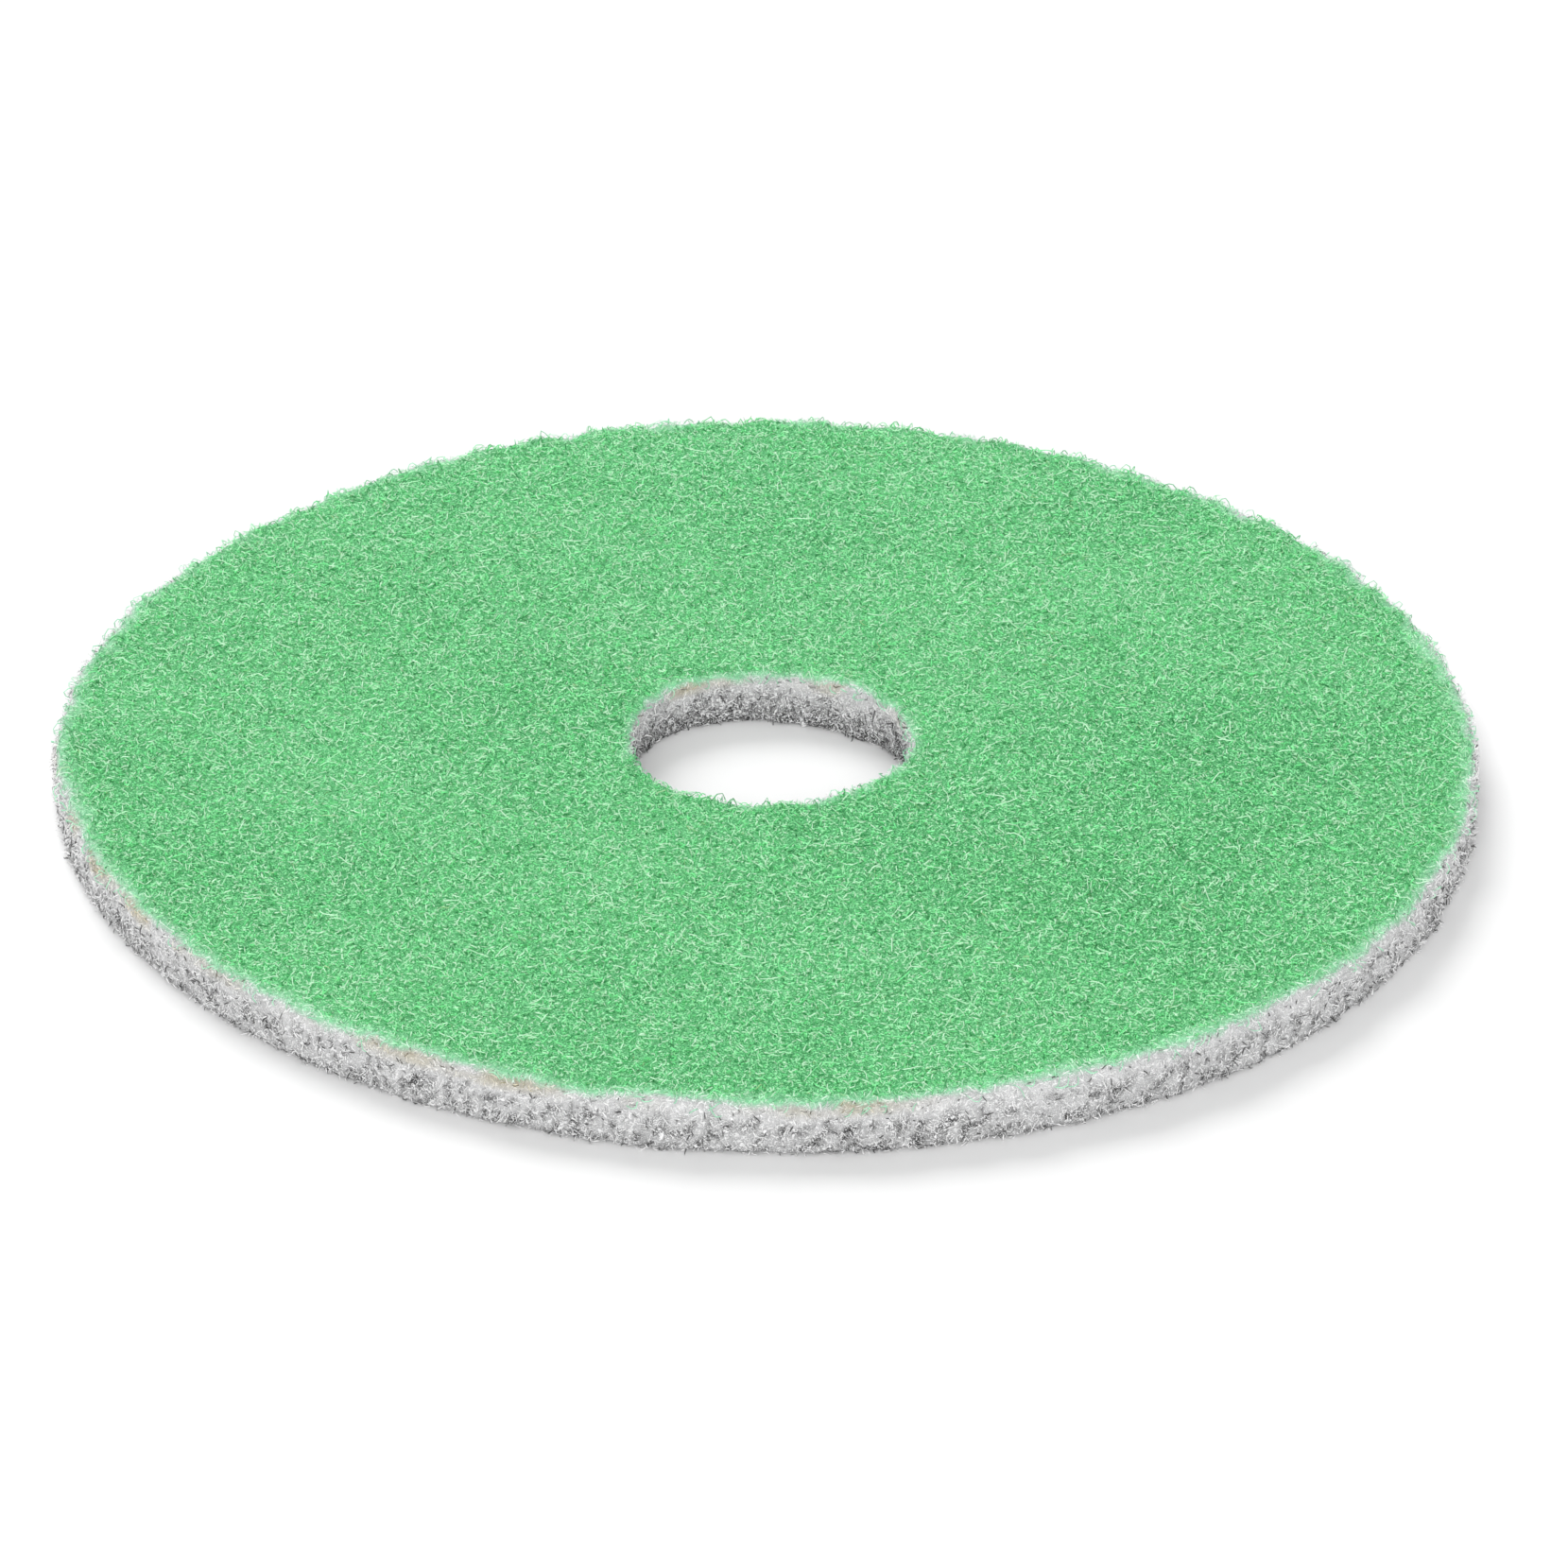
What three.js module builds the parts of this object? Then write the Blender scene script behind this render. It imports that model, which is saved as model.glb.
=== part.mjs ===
// A 17 inch floor polishing pad: one thick disc of nonwoven polyester fibre with a hole through
// its centre. The upper face carries a green abrasive coating that is soaked into the fibres, so
// the coated face and the bare web under it are one piece.
//
// Millimetres, +Z up. The origin is at the centre of the bare underside, where the machine's pad
// driver grips, and the coated working face is up.

import * as THREE from 'three';

// Driving dimensions

const PAD_RADIUS = 216;
const PAD_THICKNESS = 18;
const HOLE_RADIUS = 41.25;

// Roundings of the soft edges. The press that coats the upper face draws its edges down further
// than the die that cuts the underside.
const RIM_COATED_ROUNDING = 3.2;
const RIM_BARE_ROUNDING = 1.6;
const HOLE_COATED_ROUNDING = 2.4;
const HOLE_BARE_ROUNDING = 1.2;

// A soft web is never cut quite round. Each wave puts a number of lobes round the outline, each
// reaching so many millimetres out, with the first lobe at an angle in degrees from +X. A wave
// of one lobe is a hole cut that far off centre.
const RIM_WAVES = [
  { lobes: 2, reach: 1.2, angle: -25 },
  { lobes: 3, reach: 0.9, angle: 55 },
  { lobes: 4, reach: 0.6, angle: 6 },
  { lobes: 5, reach: 0.5, angle: 28 },
];
const HOLE_WAVES = [
  { lobes: 1, reach: 1, angle: 180 },
  { lobes: 2, reach: 1.4, angle: -5 },
  { lobes: 3, reach: 0.9, angle: 5 },
];

// Fineness of the faces
const TURN_STEPS = 120;
const EDGE_STEPS = 3;

// Colours of the two finishes
const COATING_COLOUR = 0x77c686;
const FIBRE_COLOUR = 0xc6c5c0;

// Points of a quarter turn about a centre in the section, from a starting angle, anticlockwise
function quarterTurn(centreX, centreZ, radius, startDegrees) {
  const points = [];
  for (let step = 0; step <= EDGE_STEPS; step += 1) {
    const angle = THREE.MathUtils.degToRad(startDegrees + (90 * step) / EDGE_STEPS);
    const x = centreX + radius * Math.cos(angle);
    const z = centreZ + radius * Math.sin(angle);
    points.push(new THREE.Vector2(x, z));
  }
  return points;
}

// Half section of the pad: x is the distance from the axis, y is the height. It runs along the
// underside, up the rim, back over the coated face and down the hole, and closes on itself.
function padSection() {
  const section = [
    ...quarterTurn(PAD_RADIUS - RIM_BARE_ROUNDING, RIM_BARE_ROUNDING, RIM_BARE_ROUNDING, 270),
    ...quarterTurn(
      PAD_RADIUS - RIM_COATED_ROUNDING,
      PAD_THICKNESS - RIM_COATED_ROUNDING,
      RIM_COATED_ROUNDING,
      0,
    ),
    ...quarterTurn(
      HOLE_RADIUS + HOLE_COATED_ROUNDING,
      PAD_THICKNESS - HOLE_COATED_ROUNDING,
      HOLE_COATED_ROUNDING,
      90,
    ),
    ...quarterTurn(HOLE_RADIUS + HOLE_BARE_ROUNDING, HOLE_BARE_ROUNDING, HOLE_BARE_ROUNDING, 180),
  ];
  section.push(section[0].clone());
  return section;
}

// How far the waves push the outline out at an angle
function waveReach(waves, angle) {
  let reach = 0;
  for (const wave of waves) {
    const start = THREE.MathUtils.degToRad(wave.angle);
    reach += wave.reach * Math.cos(wave.lobes * (angle - start));
  }
  return reach;
}

// Moves each point in or out along its radius: by the rim's waves at the rim, by the hole's waves
// at the hole, and by a share of both in between, so that the walls stay upright
function addWaves(geometry) {
  const position = geometry.attributes.position;
  for (let index = 0; index < position.count; index += 1) {
    const x = position.getX(index);
    const y = position.getY(index);
    const radius = Math.hypot(x, y);
    const angle = Math.atan2(y, x);
    const outward = (radius - HOLE_RADIUS) / (PAD_RADIUS - HOLE_RADIUS);
    const rimPart = outward * waveReach(RIM_WAVES, angle);
    const holePart = (1 - outward) * waveReach(HOLE_WAVES, angle);
    const scale = (radius + rimPart + holePart) / radius;
    position.setXY(index, x * scale, y * scale);
  }
}

// Colours the top green down to where the roundings end, and the rest as bare fibre
function addColours(geometry) {
  const coating = new THREE.Color(COATING_COLOUR);
  const fibre = new THREE.Color(FIBRE_COLOUR);
  const soakDepth = Math.min(RIM_COATED_ROUNDING, HOLE_COATED_ROUNDING);
  const position = geometry.attributes.position;
  const colours = new Float32Array(position.count * 3);
  for (let index = 0; index < position.count; index += 1) {
    const depth = PAD_THICKNESS - position.getZ(index);
    const bareShare = THREE.MathUtils.clamp(depth / soakDepth, 0, 1);
    coating.clone().lerp(fibre, bareShare).toArray(colours, index * 3);
  }
  geometry.setAttribute('color', new THREE.BufferAttribute(colours, 3));
}

// The pad: its section turned about the axis, then given its waves and its two colours
function fibrePad() {
  const geometry = new THREE.LatheGeometry(padSection(), TURN_STEPS);
  geometry.rotateX(Math.PI / 2);
  addWaves(geometry);
  addColours(geometry);
  geometry.computeVertexNormals();
  const material = new THREE.MeshStandardMaterial({
    vertexColors: true,
    roughness: 0.95,
    metalness: 0,
  });
  const mesh = new THREE.Mesh(geometry, material);
  mesh.name = 'fibre_pad';
  return mesh;
}

const floorPad = new THREE.Group();
floorPad.name = 'floor_polishing_pad';
floorPad.add(fibrePad());

export default floorPad;
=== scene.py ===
import math
from collections import namedtuple

import bpy
import numpy as np
from mathutils import Matrix


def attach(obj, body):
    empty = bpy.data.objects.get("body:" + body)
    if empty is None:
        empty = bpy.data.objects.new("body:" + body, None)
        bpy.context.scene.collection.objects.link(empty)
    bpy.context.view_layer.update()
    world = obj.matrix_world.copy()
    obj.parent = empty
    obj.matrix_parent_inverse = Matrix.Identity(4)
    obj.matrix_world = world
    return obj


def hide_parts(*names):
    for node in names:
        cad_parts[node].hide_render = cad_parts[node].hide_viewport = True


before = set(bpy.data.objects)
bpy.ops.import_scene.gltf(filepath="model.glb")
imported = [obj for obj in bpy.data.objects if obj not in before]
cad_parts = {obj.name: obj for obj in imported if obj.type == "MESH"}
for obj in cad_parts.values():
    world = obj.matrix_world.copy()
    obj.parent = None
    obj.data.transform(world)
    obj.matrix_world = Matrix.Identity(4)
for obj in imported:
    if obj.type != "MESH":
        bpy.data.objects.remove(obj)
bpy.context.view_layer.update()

bl_info = {
    "name": "Floor polishing pad",
    "version": (1, 0, 0),
    "blender": (4, 5, 0),
    "location": "3D View > Sidebar > Floor pad",
    "description": "Dresses the pad's solid as a nonwoven fibre web with a green abrasive face",
    "category": "Object",
}

NODE = "fibre_pad"
BODY = "root"

MM = 0.001
PALETTE_MAP = "OFBake"
PALETTE_STEPS = 32

COATED_MATERIAL = "resin_coated_polyester_fibre"
BARE_MATERIAL = "bare_polyester_fibre"
WEB_MATERIAL = "resin_bonded_nonwoven_web"
POLYESTER_IOR = 1.5

# Steps of each rounded edge in the pad's section
TURN_STEPS = 8

# Two fractions whose multiples, less their whole parts, lie evenly over a square
EVEN_STEPS = (0.7548776662, 0.5698402910)

# Random patterns, each with the width of its lumps and its seed
WAVER_COARSE = (9 * MM, 11)
WAVER_FINE = (3.5 * MM, 12)
EDGE_BUMPS = (5.5 * MM, 13)
FADE_COARSE = (14 * MM, 21)
FADE_FINE = (3.5 * MM, 22)
SLOW_SHADE = (40 * MM, 31)
STAIN_GAPS = (9 * MM, 41)
PORES = (0.8 * MM, 51)

# How far into the face the cut edges' waver and the coated edges' bumps reach
RIM_WAVER_REACH = 12 * MM
HOLE_WAVER_REACH = 8 * MM
RIM_BUMP_REACH = 14 * MM
HOLE_BUMP_REACH = 9 * MM

# The duller patch on the face, right of the hole
PATCH_CENTRE = (0.118, -0.062)
PATCH_SIZE = 0.042
PATCH_DEPTH = 0.12

# Stretches of the edge that the resin has stained tan: whether at the hole, the angle of the
# middle from +X in degrees, and the reach to either side in degrees
STAINS = (
    (False, 246, 10),
    (False, 205, 16),
    (False, 275, 5),
    (True, 130, 26),
    (True, 45, 24),
    (True, 205, 12),
)

# Where the rings of a fibre's model lie along it, from one tip at 0 to the other at 1
CRIMPED = (0, 0.5, 1)
CURLED = (0, 0.27, 0.73, 1)
ARCHED = (0, 0.12, 0.37, 0.63, 0.88, 1)

# A kind of fibre: the seed of its draws, the rings of its model, its length, its curl, how steeply
# it tilts out of the surface in degrees, the lowest and highest place of its middle over the
# surface in millimetres, its brightness, and its share of the usual thickness
FibreKind = namedtuple("FibreKind", "seed rings length curl steepness low high brightness girth")
FACE_KINDS = (
    FibreKind(100, CURLED, 2.6 * MM, 1.3, 28, -0.8, 0.1, 0.96, 1),
    FibreKind(101, CURLED, 2.2 * MM, 1.3, 28, -0.8, 0.1, 0.96, 1),
    FibreKind(102, CRIMPED, 1.7 * MM, 1.0, 28, -0.8, 0.1, 0.96, 1),
    FibreKind(103, CRIMPED, 1.5 * MM, 1.0, 28, -0.8, 0.1, 0.96, 1),
)
LOOSE_KIND = FibreKind(110, ARCHED, 6.5 * MM, 1.0, 12, -0.2, 0.3, 0.9, 0.8)
LOOP_KIND = FibreKind(120, ARCHED, 4.2 * MM, 1.0, 8, 0.2, 0.8, 0.2, 0.75)
RIM_KIND = FibreKind(200, CURLED, 2.4 * MM, 1.2, 35, -0.8, 0.1, 0.98, 1)
HOLE_KIND = FibreKind(300, CURLED, 2.8 * MM, 1.0, 35, -0.8, 0.1, 0.98, 1)
UNDERSIDE_KIND = FibreKind(400, CURLED, 5.0 * MM, 0.8, 5, -0.8, -0.3, 0.98, 1)

# Share of the edge loops that stand at the rim; the others stand at the hole
RIM_LOOP_SHARE = 0.78

# A fibre counts as coated past a share of coat of its own, which lies between these two
COAT_LIMITS = (0.15, 0.45)

# Part of the coated fibres that lean to olive, and the darkest and brightest shade of a fibre
OLIVE_PART = 0.03
SHADE_LIMITS = (0.02, 0.98)

# Curly lines of the web's material: how many levels of the noise are drawn as lines, how wide the
# lumps of the two noises are, and how far the second pattern is moved
LINE_LEVELS = 5.0
LINE_WIDTHS = (1.4 * MM, 1.7 * MM)
LINE_SHIFT = (0.31, 0.17, 0.05)

# Clearances over the plane that the pad lies on
FIBRE_CLEARANCE = 0.05 * MM
WEB_CLEARANCE = 0.3 * MM

# Side of the floor in metres, and the faint glow that makes its unshaded part pure white
FLOOR_SIZE = 24
FLOOR_GLOW = 0.04


def linear(hex_colour):
    """Linear red, green and blue of an sRGB colour written as hex digits."""
    channels = [int(hex_colour[i:i + 2], 16) / 255 for i in (0, 2, 4)]
    return tuple(c / 12.92 if c <= 0.04045 else ((c + 0.055) / 1.055) ** 2.4 for c in channels)


def length_property(name, description, default):
    """A size in metres that the sidebar shows as a length."""
    return bpy.props.FloatProperty(
        name=name, description=description, default=default, min=0, unit="LENGTH", precision=5,
    )


def count_property(name, description, default):
    """A number of fibres."""
    return bpy.props.IntProperty(name=name, description=description, default=default, min=1)


def angle_property(name, description, degrees):
    """An angle that the sidebar shows in degrees."""
    return bpy.props.FloatProperty(
        name=name, description=description, default=math.radians(degrees), unit="ROTATION",
    )


def colour_property(name, description, hex_colour):
    """A colour that the sidebar shows as a swatch."""
    return bpy.props.FloatVectorProperty(
        name=name, description=description, default=linear(hex_colour),
        min=0, max=1, subtype="COLOR",
    )


class FloorPadSizes(bpy.types.PropertyGroup):
    """Sizes and numbers of the fibres and of the web"""

    rim_rounding: length_property(
        "Rim rounding", "Rounding of the coated face's outer edge", 3.2 * MM)
    hole_rounding: length_property(
        "Hole rounding", "Rounding of the coated face's edge at the hole", 2.4 * MM)
    bare_rounding: length_property("Bare rounding", "Rounding of the underside's edges", 2.0 * MM)
    edge_wobble: length_property(
        "Edge wobble", "How far the cut edges waver in and out", 0.35 * MM)
    edge_bumps: length_property(
        "Edge bumps", "How far the coated face's edges rise and fall", 0.6 * MM)
    voxel: length_property("Voxel", "Grid that the soft body is remeshed on", 2.6 * MM)
    body_inset: length_property(
        "Body inset", "Depth of the open fibre layer over the soft body", 0.8 * MM)
    lump_height: length_property(
        "Lump height", "How far the soft body's small lumps rise", 0.4 * MM)
    lump_width: length_property("Lump width", "Width of the soft body's small lumps", 4.0 * MM)
    rim_fade_start: length_property(
        "Rim fade start", "Where the green starts to fade, in from the rim", 8.4 * MM)
    rim_fade_length: length_property(
        "Rim fade length", "Way over the rim's edge in which the green fades out", 12.5 * MM)
    hole_fade_start: length_property(
        "Hole fade start", "Where the green starts to fade, out from the hole", 4.4 * MM)
    hole_fade_length: length_property(
        "Hole fade length", "Way over the hole's edge in which the green fades out", 9.0 * MM)
    fade_waver: length_property("Fade waver", "How far the edge of the green wavers", 0.6 * MM)
    fibre_thickness: length_property("Fibre thickness", "Thickness of a coated fibre", 0.42 * MM)
    bare_thickness: length_property("Bare fibre thickness", "Thickness of a bare fibre", 0.36 * MM)
    face_fibres: count_property(
        "Face fibres", "Curled fibres on the coated face, in each of two pieces", 15200)
    face_crimps: count_property(
        "Face crimps", "Short crimped fibre ends on the face, in each of two pieces", 30400)
    long_fibres: count_property("Long fibres", "Long loose fibres on the coated face", 1200)
    edge_loops: count_property(
        "Edge loops", "Loops that stand out of the coated face's edges", 600)
    rim_fibres: count_property("Rim fibres", "Fibres on the rim's wall", 11500)
    hole_fibres: count_property("Hole fibres", "Fibres on the hole's wall", 2000)
    underside_fibres: count_property("Underside fibres", "Fibres on the bare underside", 2800)


class FloorPadColours(bpy.types.PropertyGroup):
    """Colours of the coat, the bare web, the stains and the floor"""

    # A fibre's shade picks between the dark and light colours: the dark ones also serve as painted
    # shade on deep fibres and in the web's gaps and pores, the light ones as painted light on the
    # uppermost fibres
    coat_dark: colour_property("Coat, dark", "Deep between the coated fibres", "1e8c46")
    coat_mid: colour_property("Coat", "Most coated fibres", "86ffa6")
    coat_light: colour_property("Coat, light", "The brightest coated fibres", "d4ffdc")
    thin_dark: colour_property("Thin coat, dark", "Fading coat between the fibres", "b0f4ce")
    thin_light: colour_property("Thin coat, light", "Fading coat on the fibres", "f2fff8")
    olive_dark: colour_property("Olive, dark", "Resin specks between the fibres", "508a4c")
    olive_light: colour_property("Olive, light", "Resin specks on the fibres", "a8d894")
    web_dark: colour_property("Web, dark", "Deep between the bare fibres", "343434")
    web_mid: colour_property("Web", "Most bare fibres", "f6f6f7")
    web_light: colour_property("Web, light", "The palest bare fibres", "ffffff")
    tan_dark: colour_property("Tan, dark", "Resin stain between the bare fibres", "928868")
    tan_light: colour_property("Tan, light", "Resin stain on the bare fibres", "e8dfc4")
    floor: colour_property("Floor", "The pale floor", "f1f1f1")


class FloorPadStage(bpy.types.PropertyGroup):
    """Camera and lights"""

    elevation: angle_property("Elevation", "Height of the camera over the horizon", 29.29)
    roll: angle_property("Roll", "Turn of the camera about its own axis", 0.28)
    pan: angle_property("Pan", "Turn of the camera to the right of the pad's centre", 0.105)
    tilt: angle_property("Tilt", "Turn of the camera up from the pad's centre", 0.02)
    distance: bpy.props.FloatProperty(
        name="Distance", description="From the camera to the middle of the underside",
        default=2.638, unit="LENGTH")
    focal_length: bpy.props.FloatProperty(
        name="Focal length", description="Focal length on a 36 mm sensor",
        default=197.6, unit="CAMERA")
    key_elevation: angle_property("Key elevation", "Height of the key light over the horizon", 42)
    key_azimuth: angle_property(
        "Key azimuth", "Direction of the key light, from behind to the left", 25)
    key_softness: angle_property("Key softness", "Width of the key light as seen from the pad", 35)
    key_share: bpy.props.FloatProperty(
        name="Key share", description="Share of the face's light that comes from the key light",
        default=0.43, min=0, max=1, subtype="FACTOR")
    fill_elevation: angle_property(
        "Fill elevation", "Height of the fill light over the horizon", 26)
    fill_share: bpy.props.FloatProperty(
        name="Fill share", description="Share of the face's light that comes from the fill light",
        default=0.25, min=0, max=1, subtype="FACTOR")
    light_level: bpy.props.FloatProperty(
        name="Light level", description="Light on a level face; 1 shows a colour as it is written",
        default=1.2, min=0, max=2, subtype="FACTOR")


def deselect_all():
    """Nothing is selected, so that an operator acts only on what is selected next."""
    for piece in bpy.context.selected_objects:
        piece.select_set(False)


def activate(piece):
    """Only this piece is selected, and it is the active one."""
    deselect_all()
    piece.select_set(True)
    bpy.context.view_layer.objects.active = piece


def smooth_noise(points, width, seed):
    """A smooth random value at each point, mostly between -2 and 2, in lumps of that width."""
    waves = 24
    rng = np.random.default_rng(seed)
    directions = rng.normal(size=(waves, 3))
    directions /= np.linalg.norm(directions, axis=1)[:, None]
    lengths = rng.uniform(1.4, 3.2, waves) * width
    phases = rng.uniform(0, 2 * math.pi, waves)
    value = np.zeros(len(points))
    for direction, length, phase in zip(directions, lengths, phases):
        value += np.cos(points @ (direction * 2 * math.pi / length) + phase)
    return value * math.sqrt(2 / waves)


def smooth_step(value, low, high):
    """0 below low and 1 above high, with a soft change between them."""
    share = np.clip((value - low) / (high - low), 0, 1)
    return share * share * (3 - 2 * share)


class PadForm:
    """The pad's surface in two coordinates: the angle about the axis, and the way along the
    section, which starts at the foot of the rim and runs up the rim, in over the coated face,
    down the hole and back out along the underside."""

    def __init__(self, sizes):
        corners = np.array([v.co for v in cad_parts[NODE].data.vertices])
        radii = np.hypot(corners[:, 0], corners[:, 1])
        angles = np.round(np.degrees(np.arctan2(corners[:, 1], corners[:, 0])), 2)
        self.angles = np.unique(angles)
        self.rim = np.array([radii[angles == a].max() for a in self.angles])
        self.hole = np.array([radii[angles == a].min() for a in self.angles])
        self.rim_radius = self.rim.mean()
        self.hole_radius = self.hole.mean()
        self.low = corners[:, 2].min()
        self.high = corners[:, 2].max()
        self.wobble = sizes.edge_wobble
        self.bumps = sizes.edge_bumps
        self.lay_section(sizes)

    def lay_section(self, sizes):
        """Points along the section, with the way to each and the surface's normal there."""
        turns = (
            (self.rim_radius, 1, self.low, sizes.bare_rounding, 270),
            (self.rim_radius, 1, self.high, sizes.rim_rounding, 0),
            (self.hole_radius, -1, self.high, sizes.hole_rounding, 90),
            (self.hole_radius, -1, self.low, sizes.bare_rounding, 180),
        )
        points = []
        normals = []
        starts = []
        for wall, side, level, rounding, start in turns:
            up = 1 if level == self.low else -1
            centre = (wall - side * rounding, level + up * rounding)
            starts.append(len(points))
            for angle in np.radians(np.linspace(start, start + 90, TURN_STEPS + 1)):
                normal = (math.cos(angle), math.sin(angle))
                points.append((centre[0] + rounding * normal[0], centre[1] + rounding * normal[1]))
                normals.append(normal)
        points.append(points[0])
        normals.append(normals[0])
        points = np.array(points)
        steps = np.linalg.norm(np.diff(points, axis=0), axis=1)
        self.way = np.concatenate([[0], np.cumsum(steps)])
        self.points = points
        self.normals = np.array(normals)
        self.rim_foot = self.way[starts[0]]
        self.rim_shoulder = self.way[starts[1]]
        self.face_start = self.way[starts[1] + TURN_STEPS]
        self.face_end = self.way[starts[2]]
        self.hole_shoulder = self.way[starts[2] + TURN_STEPS]
        self.hole_foot = self.way[starts[3] + TURN_STEPS]
        self.end = self.way[-1]

    def wave(self, radius, angle):
        """How far the outline at that angle lies outside the mean circle."""
        degrees = np.degrees(np.arctan2(np.sin(angle), np.cos(angle)))
        rim = np.interp(degrees, self.angles, self.rim, period=360) - self.rim_radius
        hole = np.interp(degrees, self.angles, self.hole, period=360) - self.hole_radius
        outward = (radius - self.hole_radius) / (self.rim_radius - self.hole_radius)
        outward = np.clip(outward, 0, 1)
        return outward * rim + (1 - outward) * hole

    def edge_waver(self, points, radius):
        """How far the cut edge wavers at a point, fading out into the face."""
        rim_share = smooth_step(radius, self.rim_radius - RIM_WAVER_REACH, self.rim_radius)
        hole_share = smooth_step(-radius, -self.hole_radius - HOLE_WAVER_REACH, -self.hole_radius)
        coarse = smooth_noise(points, *WAVER_COARSE)
        fine = smooth_noise(points, *WAVER_FINE)
        return (rim_share - hole_share) * self.wobble * (coarse + 0.7 * fine)

    def edge_rise(self, points, radius):
        """How far the coated face's edge rises or falls at a point, fading out into the face and
        down the wall."""
        rim_share = smooth_step(
            radius, self.rim_radius - RIM_BUMP_REACH, self.rim_radius - 2 * MM)
        hole_share = smooth_step(
            -radius, -self.hole_radius - HOLE_BUMP_REACH, -self.hole_radius - 1 * MM)
        top_share = smooth_step(points[:, 2], 0.3 * self.high, self.high)
        bumps = smooth_noise(points * (1, 1, 0), *EDGE_BUMPS)
        return np.maximum(rim_share, 0.6 * hole_share) * top_share * self.bumps * bumps

    def place(self, way, angle, lift):
        """The point that far along the section, at that angle, lifted off the surface."""
        radius = np.interp(way, self.way, self.points[:, 0], period=self.end)
        height = np.interp(way, self.way, self.points[:, 1], period=self.end)
        normal_out = np.interp(way, self.way, self.normals[:, 0], period=self.end)
        normal_up = np.interp(way, self.way, self.normals[:, 1], period=self.end)
        size = np.hypot(normal_out, normal_up)
        far = radius + self.wave(radius, angle)
        flat = np.stack([far * np.cos(angle), far * np.sin(angle), height], axis=-1)
        spots = flat.reshape(-1, 3)
        height = height + self.edge_rise(spots, far.reshape(-1)).reshape(far.shape)
        far = far + self.edge_waver(spots, far.reshape(-1)).reshape(far.shape)
        far = far + lift * normal_out / size
        height = height + lift * normal_up / size
        return np.stack([far * np.cos(angle), far * np.sin(angle), height], axis=-1)

    def radius_at(self, way):
        """Distance from the axis at that way along the section."""
        return np.interp(way, self.way, self.points[:, 0], period=self.end)

    def scatter(self, rng, count, start, end):
        """Places between two stations of the section, as ways along it and angles, spread evenly
        over the surface: each step of the two fractions lands in the widest gap that is left,
        and a scatter of half the spacing hides the order."""
        stations = np.linspace(start, end, 400)
        area = np.cumsum(self.radius_at(stations))
        steps = np.arange(count)
        along = (rng.random() + steps * EVEN_STEPS[0]) % 1
        round_ = (rng.random() + steps * EVEN_STEPS[1]) % 1
        way = np.interp(area[0] + along * (area[-1] - area[0]), area, stations)
        spread = math.sqrt((end - start) * 2 * math.pi * self.radius_at(stations).mean() / count)
        way += rng.normal(0, 0.45, count) * spread
        angle = round_ * 2 * math.pi + rng.normal(0, 0.45, count) * spread / self.radius_at(way)
        return np.clip(way, start, end), angle


def way_down(points, form, sizes):
    """How far a point lies past the start of the coating's fade, over the rim's edge and over the
    hole's edge, each as a share of the way in which the green fades out. At the back the green
    reaches further over the rim, and there and on the right it reaches less far into the hole."""
    radius = np.hypot(points[:, 0], points[:, 1])
    angle = np.arctan2(points[:, 1], points[:, 0])
    depth = form.high - points[:, 2]
    rim_gap = form.rim_radius + form.wave(form.rim_radius, angle) - radius
    hole_gap = radius - form.hole_radius - form.wave(form.hole_radius, angle)
    waver = smooth_noise(points * (1, 1, 0), *FADE_COARSE) + smooth_noise(points, *FADE_FINE)
    at_back = smooth_step(np.sin(angle), 0, 1)
    uneven = sizes.fade_waver * waver
    rim = sizes.rim_fade_start - rim_gap + depth + uneven - 1.2 * MM * at_back
    hole = sizes.hole_fade_start - hole_gap + depth + uneven + MM * (at_back + np.cos(angle))
    return rim / sizes.rim_fade_length, hole / sizes.hole_fade_length


def coat_share(points, form, sizes):
    """1 where the green coating is full and 0 where the web is bare, as on all the underside."""
    rim, hole = way_down(points, form, sizes)
    under = (form.high - points[:, 2]) / sizes.rim_fade_start
    return 1 - smooth_step(np.maximum(np.maximum(rim, hole), under), 0, 1)


def face_shade(points):
    """Slow changes in the coated face's brightness, and the duller patch right of the hole."""
    away = np.linalg.norm(points[:, :2] - PATCH_CENTRE, axis=1) / PATCH_SIZE
    patch = np.exp(-0.5 * away ** 2)
    return 0.015 * smooth_noise(points, *SLOW_SHADE) - PATCH_DEPTH * patch


def tan_share(points, form):
    """Where the resin has stained the bare web just under the coating: in a few stretches of the
    rim and of the hole's edge. The stain is full from 1.2 mm to 2.8 mm below the face and ends at
    5.5 mm."""
    depth = form.high - points[:, 2]
    radius = np.hypot(points[:, 0], points[:, 1])
    angle = np.arctan2(points[:, 1], points[:, 0])
    at_hole = radius < (form.rim_radius + form.hole_radius) / 2
    band = smooth_step(depth, 0.3 * MM, 1.2 * MM) * smooth_step(-depth, -5.5 * MM, -2.8 * MM)
    share = np.zeros(len(points))
    for on_hole, middle, reach in STAINS:
        turn = np.angle(np.exp(1j * (angle - math.radians(middle)))) / math.radians(reach)
        share = np.maximum(share, np.exp(-turn ** 2) * (at_hole == on_hole))
    return band * share * smooth_step(smooth_noise(points, *STAIN_GAPS), -1.2, 0.6)


def pore_share(points, form):
    """Where the bare web has open pores, mostly in the lower part of its walls, and few on the
    pressed underside. The web and its fibres are drawn darker there, as painted shade inside the
    pores."""
    height = (points[:, 2] - form.low) / (form.high - form.low)
    low_part = 1 - 0.8 * smooth_step(height, 0.45, 0.85) - 0.8 * smooth_step(-height, -0.1, 0)
    return smooth_step(smooth_noise(points, *PORES), 0.0, 0.7) * low_part


def upper_part(points, form):
    """1 at the top of the walls, where the web is palest, and 0 from a third of the way down."""
    return 1 - smooth_step(form.high - points[:, 2], 3 * MM, 8 * MM)


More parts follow.
